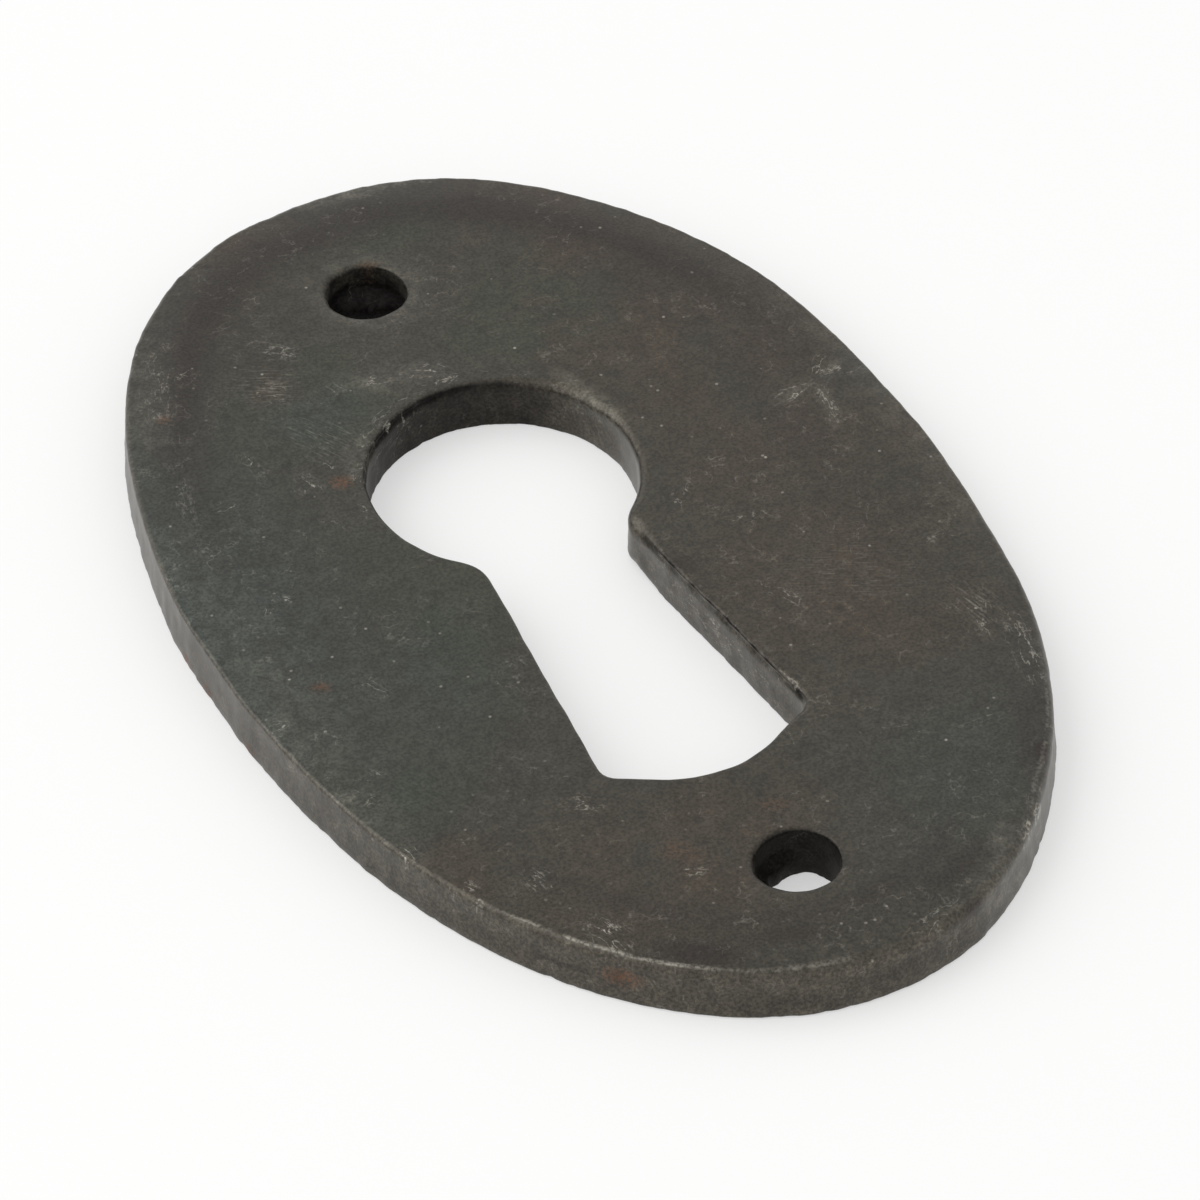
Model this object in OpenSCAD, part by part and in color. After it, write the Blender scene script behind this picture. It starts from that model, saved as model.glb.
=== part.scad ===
// Keyhole escutcheon: one forged oval plate with a keyhole and a nail hole near each end.
// It lies on its back, front face up, with the keyhole's round head towards +Y.
// The origin is at the middle of the back face.

/* [Plate] */
// Length of the oval at the back face
plate_l = 51; // [48:0.5:60]
// Width of the oval at the back face
plate_w = 32; // [28:0.5:40]
// Thickness of the plate at its flat middle
plate_t = 2.4; // [2:0.1:4]
// Squareness of the oval's upper half, where 2 is a true ellipse
upper_power = 2.2; // [2:0.05:2.6]
// Squareness of the oval's lower half, where 2 is a true ellipse
lower_power = 2.05; // [2:0.05:2.6]
// Turn of the oval against the line of the nail holes, in degrees
oval_turn = 0.6; // [-2:0.1:2]

/* [Hammered edge] */
// How far the side wall leans in on its way up to the front edge
wall_draft = 0.15; // [0:0.05:0.4]
// Radius of the rounded front edge
edge_r = 0.4; // [0.2:0.05:0.6]
// Drop of the front face from its flat middle to the rounded edge
face_fall = 0.15; // [0.05:0.05:0.4]
// Width of the falling border at the two ends of the oval
fall_end_w = 3; // [1:0.25:4]
// Width of the falling border at the two sides of the oval
fall_side_w = 1.25; // [0.75:0.25:2]

/* [Keyhole] */
// Sideways place of the keyhole and the nail holes, off the middle of the plate
line_x = -0.7; // [-1.5:0.1:1.5]
// Diameter of the keyhole's round head
head_d = 11.1; // [9:0.1:13]
// Place of the head's centre, above the middle of the plate
head_y = 5.75; // [4.5:0.25:7]
// Width of the slot at the neck, where it leaves the head
neck_w = 6.45; // [5:0.05:7.5]
// Radius of the neck's worn shoulders
neck_r = 1.2; // [0.4:0.1:2]
// Width of the slot at its foot
foot_w = 9; // [7.5:0.1:10.5]
// Place of the foot's lowest point, below the middle of the plate
foot_y = 14; // [12:0.25:15]
// Slope of the foot's two shoulders, in degrees
foot_slope = 30; // [15:1:35]
// Radius of the round between the foot's shoulders
foot_r = 4.7; // [2:0.1:6]
// Radius of the foot's two corners
corner_r = 0.8; // [0.2:0.1:1.2]

/* [Nail holes] */
// Diameter of the nail holes
hole_d = 3.3; // [2.5:0.1:4]
// Distance between the nail holes
hole_pitch = 38; // [36:0.5:40]
// Place of the point midway between the nail holes, above the middle of the plate
hole_mid_y = -0.5; // [-1:0.25:1]
// Width of the worn bevel round the mouth of each nail hole
hole_ease = 0.15; // [0.05:0.05:0.4]

/* [Hidden] */

iron_colour = [0.29, 0.29, 0.275];

oval_steps = 144;   // straight pieces round the oval
edge_steps = 5;     // straight pieces up the rounded edge
round_steps = 10;   // straight pieces along each round of the slot
skin = 0.01;        // height of the thin slices that shape the plate
lap = 0.03;         // overlap that joins the slot's outline to the head
past = 1;           // how far each cutter runs past both faces

arris_z = plate_t - face_fall;
head_r = head_d / 2;
head_c = [0, head_y];

// Foot of the slot: the ends of its round, and the corners where its sloping shoulders stop
foot_c = [0, foot_r - foot_y];
foot_end_x = foot_r * sin(foot_slope);
foot_corner = [
    -foot_w / 2,
    foot_c[1] - foot_r * cos(foot_slope) + (foot_w / 2 - foot_end_x) * tan(foot_slope)
];

// Side of the slot: from the foot's corner up to the point of the head as wide as the neck
neck_corner = [-neck_w / 2, head_y - sqrt(pow(head_r, 2) - pow(neck_w / 2, 2))];
side_dir = (neck_corner - foot_corner) / norm(neck_corner - foot_corner);
side_out = [-side_dir[1], side_dir[0]];

// Shoulder of the neck: a round that touches both the slot's side and the head
shoulder_base = foot_corner + side_out * neck_r;
head_along = (head_c - shoulder_base) * side_dir;
head_aside = (head_c - shoulder_base) * side_out;
shoulder_c = shoulder_base
    + side_dir * (head_along - sqrt(pow(head_r + neck_r, 2) - pow(head_aside, 2)));
shoulder_dir = (shoulder_c - head_c) / norm(shoulder_c - head_c);

// Angle of a direction, in degrees
function heading(v) = atan2(v[1], v[0]);

// Points of an arc from one angle to another, without its first point
function arc(centre, radius, from, to) = [
    for (i = [1 : round_steps])
        let (a = from + (to - from) * i / round_steps)
            centre + radius * [cos(a), sin(a)]
];

// Signed power that keeps the quadrant of an oval's point
function oval_term(t, power) = sign(t) * pow(abs(t), 2 / power);

// Outline of the oval, drawn in by one distance at its ends and another at its sides
function oval(end_in, side_in) = [
    for (i = [0 : oval_steps - 1])
        let (
            a = 360 * i / oval_steps,
            power = sin(a) >= 0 ? upper_power : lower_power
        )
            [
                (plate_w / 2 - side_in) * oval_term(cos(a), power),
                (plate_l / 2 - end_in) * oval_term(sin(a), power)
            ]
];

// Corner of the slot's foot, as an arc that touches the slot's side and the foot's shoulder
slope_dir = [cos(foot_slope), -sin(foot_slope)];
corner_turn = acos(-side_dir * slope_dir);
corner_back = corner_r * tan(corner_turn / 2);
corner_c = foot_corner + side_dir * corner_back - side_out * corner_r;

// Left half of the slot's outline, from inside the head down to the foot's lowest point
slot_left = concat(
    [head_c, head_c + shoulder_dir * (head_r - lap)],
    arc(shoulder_c, neck_r, heading(-shoulder_dir), heading(-side_out)),
    [foot_corner + side_dir * corner_back],
    arc(corner_c, corner_r, heading(side_out), heading([-sin(foot_slope), -cos(foot_slope)]) + 360),
    [foot_c + foot_r * [-sin(foot_slope), -cos(foot_slope)]],
    arc(foot_c, foot_r, 270 - foot_slope, 270)
);

// The same points mirrored and read upwards, without the two points on the centre line
slot_right = [for (i = [len(slot_left) - 2 : -1 : 1]) [-slot_left[i][0], slot_left[i][1]]];

// One thin level of the plate
module level(z, end_in, side_in) {
    translate([0, 0, z])
        linear_extrude(skin)
            polygon(oval(end_in, side_in));
}

// Solid oval with leaning wall, rounded front edge and a border that falls towards the edge
module blank() {
    rotate(oval_turn)
        hull() {
            level(0, 0, 0);
            for (i = [0 : edge_steps]) {
                a = 90 * i / edge_steps;
                inset = wall_draft + edge_r * (1 - cos(a));
                level(arris_z - edge_r * (1 - sin(a)) - skin, inset, inset);
            }
            level(plate_t - skin, fall_end_w, fall_side_w);
        }
}

// Keyhole through both faces: a round head and a slot that widens towards its foot
module keyhole() {
    translate([0, 0, -past])
        linear_extrude(plate_t + 2 * past)
            union() {
                translate(head_c)
                    circle(d = head_d, $fn = 96);
                polygon(concat(slot_left, slot_right));
            }
}

// Nail hole through both faces, with its mouth worn to a small bevel
module nail_hole() {
    translate([0, 0, -past])
        cylinder(d = hole_d, h = plate_t + 2 * past, $fn = 48);
    translate([0, 0, plate_t - hole_ease])
        cylinder(d1 = hole_d, d2 = hole_d + 4 * hole_ease, h = 2 * hole_ease, $fn = 48);
}

module escutcheon_plate() {
    color(iron_colour)
        difference() {
            blank();
            translate([line_x, 0, 0]) {
                keyhole();
                for (side = [-1, 1])
                    translate([0, hole_mid_y + side * hole_pitch / 2, 0])
                        nail_hole();
            }
        }
}

escutcheon_plate();
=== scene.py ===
"""A forged oval keyhole escutcheon, waxed near-black, lying on pale paper in soft light."""

import logging
import math
from dataclasses import dataclass, field
from enum import Enum
from typing import Optional, Union

import bpy
import numpy as np
from mathutils import Matrix, Vector, geometry, noise


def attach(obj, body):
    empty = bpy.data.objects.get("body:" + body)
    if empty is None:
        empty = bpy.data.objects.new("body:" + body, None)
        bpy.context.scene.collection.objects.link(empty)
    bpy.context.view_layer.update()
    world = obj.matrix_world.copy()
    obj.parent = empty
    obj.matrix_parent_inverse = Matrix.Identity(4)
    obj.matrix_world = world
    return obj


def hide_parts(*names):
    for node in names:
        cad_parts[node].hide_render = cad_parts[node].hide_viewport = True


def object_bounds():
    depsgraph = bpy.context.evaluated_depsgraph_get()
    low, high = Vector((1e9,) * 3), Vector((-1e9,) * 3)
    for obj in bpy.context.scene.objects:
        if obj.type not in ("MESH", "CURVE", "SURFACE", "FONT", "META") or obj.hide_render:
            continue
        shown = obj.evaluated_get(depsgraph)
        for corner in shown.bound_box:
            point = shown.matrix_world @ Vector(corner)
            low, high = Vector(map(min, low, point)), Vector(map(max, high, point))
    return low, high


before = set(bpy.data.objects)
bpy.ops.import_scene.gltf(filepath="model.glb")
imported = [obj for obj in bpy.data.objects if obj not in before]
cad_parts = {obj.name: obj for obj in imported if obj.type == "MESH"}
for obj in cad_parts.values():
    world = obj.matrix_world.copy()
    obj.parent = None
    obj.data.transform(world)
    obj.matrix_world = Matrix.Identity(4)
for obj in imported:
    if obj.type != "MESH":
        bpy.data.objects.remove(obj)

MM = 0.001
BODY = "root"
CAD_NODE = "escutcheon_plate"
CAD_BOX = [list(corner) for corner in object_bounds()]

FRONT_ABOVE = 1.5  # height in millimetres above which a point belongs to the front face
SPECK_SIZE = 0.9  # breadth of a bright speck's patch, in millimetres

Array = np.ndarray
Socket = bpy.types.NodeSocket
Amount = Union[float, Array]
Value = Union[float, Socket]
Colour = Union[Socket, tuple[float, float, float, float]]

log = logging.getLogger("escutcheon")


def linear(hex_colour: str) -> tuple[float, float, float, float]:
    """Turns an sRGB hex colour into linear light.

    Args:
        hex_colour: Six hex digits after a hash.

    Returns:
        Red, green, blue and an alpha of 1.
    """
    values = [int(hex_colour[i:i + 2], 16) / 255 for i in (1, 3, 5)]
    light = [v / 12.92 if v <= 0.04045 else ((v + 0.055) / 1.055) ** 2.4 for v in values]
    return (light[0], light[1], light[2], 1.0)


def per_metre(size_mm: float) -> float:
    """Gives a texture's scale from the real size of one grain of it, in millimetres."""
    return 1 / (size_mm * MM)


def arc(centre: Array, radius: float, start: float, end: float, steps: int = 24) -> Array:
    """Draws an arc.

    Args:
        centre: Centre of the arc.
        radius: Radius of the arc.
        start: Angle of its first point, in degrees.
        end: Angle of its last point, in degrees.
        steps: Number of straight pieces.

    Returns:
        The arc's points, both ends included.
    """
    turn = np.radians(np.linspace(start, end, steps + 1))
    return centre + radius * np.stack([np.cos(turn), np.sin(turn)], axis=1)


def heading(direction: Array) -> float:
    """Gives the angle of a direction, in degrees."""
    return math.degrees(math.atan2(direction[1], direction[0]))


def space_evenly(points: Array, spacing: float) -> Array:
    """Spreads points evenly along a closed outline.

    Args:
        points: Points of the outline, in order.
        spacing: Wanted distance between neighbours.

    Returns:
        The outline as evenly spaced points.
    """
    closed = np.vstack([points, points[:1]])
    steps = np.linalg.norm(np.diff(closed, axis=0), axis=1)
    closed = closed[np.concatenate([[True], steps > 1e-9])]
    reach = np.concatenate([[0.0], np.cumsum(steps[steps > 1e-9])])
    at = np.linspace(0, reach[-1], round(reach[-1] / spacing), endpoint=False)
    return np.stack([np.interp(at, reach, closed[:, axis]) for axis in (0, 1)], axis=1)


def normals(loop: Array) -> Array:
    """Gives the direction to the left of a closed outline at each of its points."""
    tangent = np.roll(loop, -1, axis=0) - np.roll(loop, 1, axis=0)
    tangent /= np.linalg.norm(tangent, axis=1, keepdims=True)
    return np.stack([-tangent[:, 1], tangent[:, 0]], axis=1)


def rise(values: Array, start: float, end: float) -> Array:
    """Rises evenly from 0 where a value is at the start to 1 where it is at the end."""
    return np.clip((values - start) / (end - start), 0, 1)


def facing(around: Array, toward: float, gain: float = 1.0, less: float = 0.0) -> Array:
    """Gives how much headings in radians face a direction in degrees, from 0 to 1."""
    return np.clip(gain * np.cos(around - math.radians(toward)) - less, 0, 1)


@dataclass(frozen=True)
class Wave:
    """Smooth noise at a real size.

    Attributes:
        height: Its height, in millimetres or as a share.
        size: Size of one swell in millimetres, for all directions or for each.
        offset: Offset that tells one use of the noise from another.
        octaves: Number of layers, each half as large as the one before.
    """

    height: float
    size: Union[float, tuple[float, float, float]]
    offset: float
    octaves: int = 2

    def at(self, points: Array) -> Array:
        """Samples the wave at points with two or three coordinates, in millimetres."""
        full = np.zeros((len(points), 3))
        full[:, :points.shape[1]] = points
        return self.height * np.array([noise.fractal(Vector(p), 1.0, 2.0, self.octaves)
                                       for p in full / self.size + self.offset])

    def above_zero(self, points: Array) -> Array:
        """Samples the wave lifted by its height, so that it is rarely below 0."""
        return self.height + self.at(points)


@dataclass(frozen=True)
class WornSpot:
    """A place, from the keyhole's middle line, where wear rounds an edge, and its reach."""

    x: float
    y: float
    depth: float
    reach: float
    sharpness: float = 1.5

    def at(self, x: Array, y: Array) -> Array:
        """Gives the radius that it adds at each point."""
        return self.depth * rise(np.hypot(x - self.x, y - self.y), self.reach, 0) ** self.sharpness


@dataclass
class Rim:
    """One edge of the plate: an outline with the metal on its left, and the wall above it.

    Attributes:
        loop: Points of the outline at the back face, in millimetres.
        front_round, back_round: Radius of the two edges, for the whole rim or for each point.
        draft: How far the wall leans into the metal on its way up.
        hollows, nibbles: Hollows in the wall, and small bites in the back edge.
        undercut: Depth of the groove under the front edge.
        lump: How far scale stands out from the wall at the back.
        hollow_shade: How much shade is painted on the wall.
    """

    loop: Array
    front_round: Amount
    back_round: Amount
    draft: float
    hollows: Wave
    undercut: Amount = 0.0
    lump: Amount = 0.0
    hollow_shade: Amount = 0.0
    nibbles: Wave = Wave(0.07, 0.45, 12.1)
    nibble_top: float = 0.5
    hollow_fade: float = 0.9
    groove_depth: float = 0.24
    groove_half: float = 0.1
    lump_top: float = 1.15
    lump_full: float = 0.65
    lump_bluntness: float = 0.6
    back_rows: int = 4
    wall_rows: int = 11
    row_crowding: float = 1.5
    round_rows: int = 8
    chunk: int = 4000
    into: Array = field(init=False)
    rings: list[Array] = field(init=False)

    def __post_init__(self) -> None:
        """Works out the direction into the metal, and gives every amount a value at each point."""
        self.into = normals(self.loop)
        for name in ("front_round", "back_round", "undercut", "lump", "hollow_shade"):
            setattr(self, name, getattr(self, name) + np.zeros(len(self.loop)))

    @property
    def sheet_inset(self) -> Array:
        """Distance from the outline to where the front face starts."""
        return self.draft + self.front_round

    def depth_of(self, points: Array) -> tuple[Array, Array]:
        """Finds how far points lie in the metal from this rim.

        Args:
            points: Points in the plane.

        Returns:
            Distance into the metal, negative in the air, and the index of the nearest rim point.
        """
        distance, index = np.empty(len(points)), np.empty(len(points), dtype=int)
        for start in range(0, len(points), self.chunk):
            part = slice(start, start + self.chunk)
            gap = points[part, None, :] - self.loop[None, :, :]
            squared = (gap ** 2).sum(axis=2)
            near = squared.argmin(axis=1)
            rows = np.arange(len(near))
            side = (gap[rows, near] * self.into[near]).sum(axis=1)
            distance[part] = np.sqrt(squared[rows, near]) * np.where(side >= 0, 1, -1)
            index[part] = near
        return distance, index

    def past_edge(self, points: Array) -> Array:
        """Gives how far points are past the edge of the front face at this rim."""
        distance, near = self.depth_of(points)
        return np.clip(distance - self.sheet_inset[near], 0, None)

    def profile(self, top: Array) -> list[tuple[Array, Array]]:
        """Draws the smooth edge, as each ring's distance into the metal and height, back first."""
        wall_top = top - self.front_round
        rings: list[tuple[Array, Array]] = []
        for turn in np.linspace(0, math.pi / 2, self.back_rows + 1):
            rings.append((self.back_round * (1 - math.sin(turn)),
                          self.back_round * (1 - math.cos(turn))))
        for step in np.linspace(0, 1, self.wall_rows + 1)[1:]:
            share = 1 - (1 - step) ** self.row_crowding
            rings.append((np.full(len(top), self.draft * share),
                          self.back_round + (wall_top - self.back_round) * share))
        for turn in np.linspace(0, math.pi / 2, self.round_rows + 1)[1:]:
            rings.append((self.draft + self.front_round * (1 - math.cos(turn)),
                          wall_top + self.front_round * math.sin(turn)))
        return rings

    def climb(self, face: "HammeredFace", outer: "Rim") -> None:
        """Builds the rings of points from the back sheet's edge to the front sheet's.

        Args:
            face: The front face, whose height the last ring meets.
            outer: The plate's outer rim.
        """
        sheet_edge = self.loop + self.into * self.sheet_inset[:, None]
        top = face.height(sheet_edge, outer.past_edge(sheet_edge))
        bites = np.clip(self.nibbles.at(self.loop), 0, self.nibbles.height)
        self.rings = []
        for inset, z in self.profile(top):
            hollow = np.clip(self.hollows.above_zero(np.column_stack([self.loop, z])), 0, None)
            hollow *= rise(top - z, 0, self.hollow_fade)
            below_groove = (top - z - self.groove_depth) / self.groove_half
            groove = self.undercut * np.exp(-below_groove ** 2)
            scale = self.lump * rise(z, self.lump_top, self.lump_full) ** self.lump_bluntness
            push = inset + hollow + groove - scale + bites * rise(z, self.nibble_top, 0)
            self.rings.append(np.column_stack([self.loop + self.into * push[:, None], z]))


@dataclass(frozen=True)
class Oval:
    """Outline of the plate at its back face: a little squarer than an ellipse, and cut by hand.

    The cuts are slow waves round the outline: how many to the turn, how deep in millimetres, and
    the angle of the first crest in degrees. Waves of the edge are shares of its radius.
    """

    length: float
    width: float
    upper_power: float = 2.2
    lower_power: float = 2.05
    turn: float = 0.6
    cuts: tuple[tuple[int, float, float], ...] = (
        (1, 0.016, 110), (2, 0.019, 51), (3, 0.041, 44), (4, 0.058, 32), (5, 0.067, 31),
        (6, 0.024, -19), (7, 0.018, 9), (8, 0.031, -3), (9, 0.025, -1))
    hammer: Wave = Wave(0.028, 2.6, 3.1, 1)
    nicks: Wave = Wave(0.014, 0.7, 9.4)
    edge_r: float = 0.32
    edge_waves: Wave = Wave(0.4, 3.0, 7.7)
    edge_chips: Wave = Wave(0.25, 0.6, 3.9)
    foot_round: float = 0.29
    crispness: float = 0.5
    crisp_heading: float = 12.0
    back_r: float = 0.12
    draft: float = 0.15
    hollows: Wave = Wave(0.03, (0.7, 0.7, 1.6), 4.4, 3)
    steps: int = 2880

    def rim(self, spacing: float) -> Rim:
        """Builds the outer rim, kept within the true oval's length and width.

        Args:
            spacing: Distance between its points.

        Returns:
            The rim, anticlockwise.
        """
        angle = np.radians(np.linspace(0, 360, self.steps, endpoint=False))
        cosine, sine = np.cos(angle), np.sin(angle)
        power = np.where(sine >= 0, self.upper_power, self.lower_power)
        x = self.width / 2 * np.sign(cosine) * np.abs(cosine) ** (2 / power)
        y = self.length / 2 * np.sign(sine) * np.abs(sine) ** (2 / power)
        turn = math.radians(self.turn)
        loop = space_evenly(np.stack([x * math.cos(turn) - y * math.sin(turn),
                                      x * math.sin(turn) + y * math.cos(turn)], axis=1), spacing)
        room = np.abs(loop).max(axis=0)
        around = np.arctan2(loop[:, 1], loop[:, 0])
        bulge = sum(depth * np.cos(count * (around - math.radians(crest)))
                    for count, depth, crest in self.cuts)
        bulge += self.hammer.at(loop)
        bulge += self.nicks.at(loop)
        loop = np.clip(loop - normals(loop) * bulge[:, None], -room, room)
        softness = self.edge_r * (1 + self.edge_waves.at(loop) + self.edge_chips.at(loop))
        softness += self.foot_round * rise(loop[:, 1], 0, -self.length / 2) ** 2
        around = np.arctan2(loop[:, 1], loop[:, 0])
        softness *= 1 - self.crispness * np.cos(around - math.radians(self.crisp_heading)) ** 2
        return Rim(loop, softness, self.back_r, self.draft, self.hollows)


@dataclass(frozen=True)
class Keyhole:
    """Keyhole: a round head over a slot that widens to a sloping, rounded foot.

    The groove under its front edge fades in between two heights below the neck and out between
    two above the foot, and comes back on the left of the head. Headings round the head are in
    degrees, with the gain and the loss that facing takes.
    """

    line_x: float = -0.7
    head_d: float = 11.02
    head_y: float = 5.75
    neck_left: tuple[float, float] = (6.36, 2.1)
    neck_right: tuple[float, float] = (6.12, 1.4)
    foot_w: float = 8.96
    foot_y: float = 13.74
    foot_slope: float = 30.0
    foot_r: float = 4.7
    corner_r: float = 0.8
    file_marks: Wave = Wave(0.04, 2.2, 5.7)
    edge_r: float = 0.16
    edge_waves: Wave = Wave(0.5, 1.6, 2.7)
    far_round: float = 0.16
    side_round: float = 0.3
    back_r: float = 0.1
    neck_wear: WornSpot = WornSpot(3.06, 0.3, 0.6, 2.6)
    neck_back_wear: WornSpot = WornSpot(3.06, 0.3, 0.55, 2.4)
    corner_wear: WornSpot = WornSpot(4.48, -11.8, 0.3, 2.2, 1.0)
    draft: float = 0.03
    hollows: Wave = Wave(0.035, (0.8, 0.8, 1.4), 4.4, 3)
    undercut: float = 0.13
    groove_mean: float = 0.7
    groove_waves: Wave = Wave(0.9, 0.7, 8.8)
    groove_side: float = 2.5
    groove_neck: tuple[float, float] = (0.2, -1.6)
    groove_foot: tuple[float, float] = (-12.3, -10.8)
    groove_head: float = 0.7
    head_from: tuple[float, float] = (1.0, 2.5)
    # Strength of the painted shade on the far wall of the head
    hollow_shade: float = 0.72
    far_heading: tuple[float, float] = (105.0, 1.6)
    right_heading: tuple[float, float, float] = (0.0, 1.5, 0.3)
    groove_heading: tuple[float, float, float] = (128.0, 1.8, 0.6)

    def left_half(self, neck_w: float, neck_r: float) -> Array:
        """Draws the half left of the middle line, from the top of the head down to the foot.

        Args:
            neck_w: Width of the slot at the neck.
            neck_r: Radius to which the neck's shoulder is worn.

        Returns:
            The half outline's points, with the middle line at x = 0.
        """
        slope = math.radians(self.foot_slope)
        head_r = self.head_d / 2
        head = np.array([0.0, self.head_y])
        foot = np.array([0.0, self.foot_r - self.foot_y])
        shelf = self.foot_w / 2 - self.foot_r * math.sin(slope)
        corner = np.array([-self.foot_w / 2,
                           foot[1] - self.foot_r * math.cos(slope) + shelf * math.tan(slope)])
        neck = np.array([-neck_w / 2, self.head_y - math.sqrt(head_r ** 2 - (neck_w / 2) ** 2)])
        side = (neck - corner) / np.linalg.norm(neck - corner)
        out = np.array([-side[1], side[0]])
        base = corner + out * neck_r
        reach = math.sqrt((head_r + neck_r) ** 2 - ((head - base) @ out) ** 2)
        shoulder = base + side * ((head - base) @ side - reach)
        to_shoulder = (shoulder - head) / np.linalg.norm(shoulder - head)
        along_slope = np.array([math.cos(slope), -math.sin(slope)])
        down_slope = np.array([-math.sin(slope), -math.cos(slope)])
        turn = math.acos(float(-side @ along_slope))
        corner_c = corner + side * self.corner_r * math.tan(turn / 2) - out * self.corner_r
        return np.vstack([
            arc(head, head_r, 90, heading(to_shoulder) % 360, 60),
            arc(shoulder, neck_r, heading(-to_shoulder), heading(-out)),
            arc(corner_c, self.corner_r, heading(out), heading(down_slope) % 360),
            arc(foot, self.foot_r, 270 - self.foot_slope, 270),
        ])

    def rim(self, spacing: float) -> Rim:
        """Builds the keyhole's rim.

        Args:
            spacing: Distance between its points.

        Returns:
            The rim, clockwise.
        """
        left = self.left_half(*self.neck_left)
        right = self.left_half(*self.neck_right)[::-1] * np.array([-1.0, 1.0])
        loop = space_evenly(np.vstack([left, right])[::-1], spacing)
        loop = loop + normals(loop) * self.file_marks.at(loop)[:, None]
        loop = loop + np.array([self.line_x, 0.0])
        x, y = loop[:, 0] - self.line_x, loop[:, 1]
        around = np.arctan2(y - self.head_y, x)
        on_head = rise(y, *self.head_from)
        far_side = on_head * facing(around, *self.far_heading)
        right_side = on_head * facing(around, *self.right_heading) * (1 - 0.6 * far_side)
        softness = self.edge_r * (1 + self.edge_waves.at(loop))
        softness += self.far_round * far_side + self.side_round * right_side
        softness += self.neck_wear.at(x, y) + self.corner_wear.at(x, y)
        groove = (x > self.groove_side) * rise(y, *self.groove_neck) * rise(y, *self.groove_foot)
        groove = groove * np.clip(self.groove_mean + self.groove_waves.at(loop), 0, None)
        groove += self.groove_head * on_head * facing(around, *self.groove_heading)
        # The far wall of the head gets painted shade
        return Rim(loop, softness, self.back_r + self.neck_back_wear.at(x, y), self.draft,
                   self.hollows, undercut=self.undercut * groove,
                   hollow_shade=self.hollow_shade * far_side * (1 - 0.5 * right_side))


@dataclass(frozen=True)
class NailHole:
    """Round hole for a nail, with a dent, and scale and wax left on its wall at the back."""

    x: float
    y: float
    diameter: float = 3.3
    wobble: Wave = Wave(0.04, 1.3, 2.2)
    edge_r: float = 0.26
    edge_waves: Wave = Wave(0.35, 0.9, 6.1)
    edge_tilt: float = 0.5
    worn_heading: float = -160.0
    back_r: float = 0.08
    draft: float = 0.02
    hollows: Wave = Wave(0.03, (0.5, 0.5, 0.6), 4.4, 3)
    dent: float = 0.16
    dent_heading: float = -116.5
    # Painted shade over the whole wall of the hole
    hollow_shade: float = 1.0
    lump_depth: float = 0.0
    lump_heading: float = 63.0
    lump_spread: float = 75.0
    lump_waves: Wave = Wave(0.4, 0.6, 1.4)
    steps: int = 96

    def rim(self, spacing: float) -> Rim:
        """Builds the hole's rim.

        Args:
            spacing: Distance between its points.

        Returns:
            The rim, clockwise.
        """
        centre = np.array([self.x, self.y])
        loop = space_evenly(arc(centre, self.diameter / 2, 360, 0, self.steps)[:-1], spacing)
        loop = loop + normals(loop) * self.wobble.at(loop)[:, None]
        around = np.arctan2(loop[:, 1] - self.y, loop[:, 0] - self.x)
        dented = self.dent * facing(around, self.dent_heading) ** 2
        loop = loop - normals(loop) * dented[:, None]
        off = np.abs((np.degrees(around) - self.lump_heading + 180) % 360 - 180)
        lump = self.lump_depth * np.cos(np.radians(np.clip(off * 90 / self.lump_spread, 0, 90)))
        tilt = self.edge_tilt * np.cos(around - math.radians(self.worn_heading))
        softness = self.edge_r * (1 + self.edge_waves.at(loop) + tilt)
        return Rim(loop, softness, self.back_r, self.draft, self.hollows,
                   lump=lump * (1 + self.lump_waves.at(loop)), hollow_shade=self.hollow_shade)


@dataclass(frozen=True)
class HammeredFace:
    """Front face: flattened under the hammer, falling away towards the outer edge."""

    thickness: float
    fall: float = 0.15
    fall_at_sides: float = 0.6
    fall_end: float = 3.4
    fall_side: float = 1.3
    half_length: float = 25.5
    swells: Wave = Wave(0.015, 7.0, 1.7)
    dimples: Wave = Wave(0.0045, 1.6, 6.3, 3)

    def height(self, points: Array, from_edge: Array) -> Array:
        """Gives the height of the front face.

        Args:
            points: Points in the plane.
            from_edge: Distance of each point from the outer edge of the flat face.

        Returns:
            Height above the back face, never more than the plate's thickness.
        """
        endness = rise(np.abs(points[:, 1]), 0, self.half_length) ** 2
        width = self.fall_side + (self.fall_end - self.fall_side) * endness
        border = self.fall_at_sides + (1 - self.fall_at_sides) * endness
        border *= self.fall * np.clip(1 - from_edge / width, 0, 1) ** 2
        uneven = self.swells.above_zero(points) + self.dimples.above_zero(points)
        return self.thickness - border - np.clip(uneven, 0, None)


class Trace(Enum):
    """What making and use left on the iron, with painted shade and glints; each value names the
    attribute that carries it.
    """

    SCUFF = "scuff"
    # Pale curled marks, with painted glints among them
    FIBRE_AND_GLINT = "fibre_and_glint"
    SPECK = "speck"
    RUST = "rust"
    WAX = "wax"
    TEAL = "teal"
    GREEN = "green"
    BROWN = "brown"
    # Painted shade
    DARK = "painted_shade"
    RUBBED = "rubbed"


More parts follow.
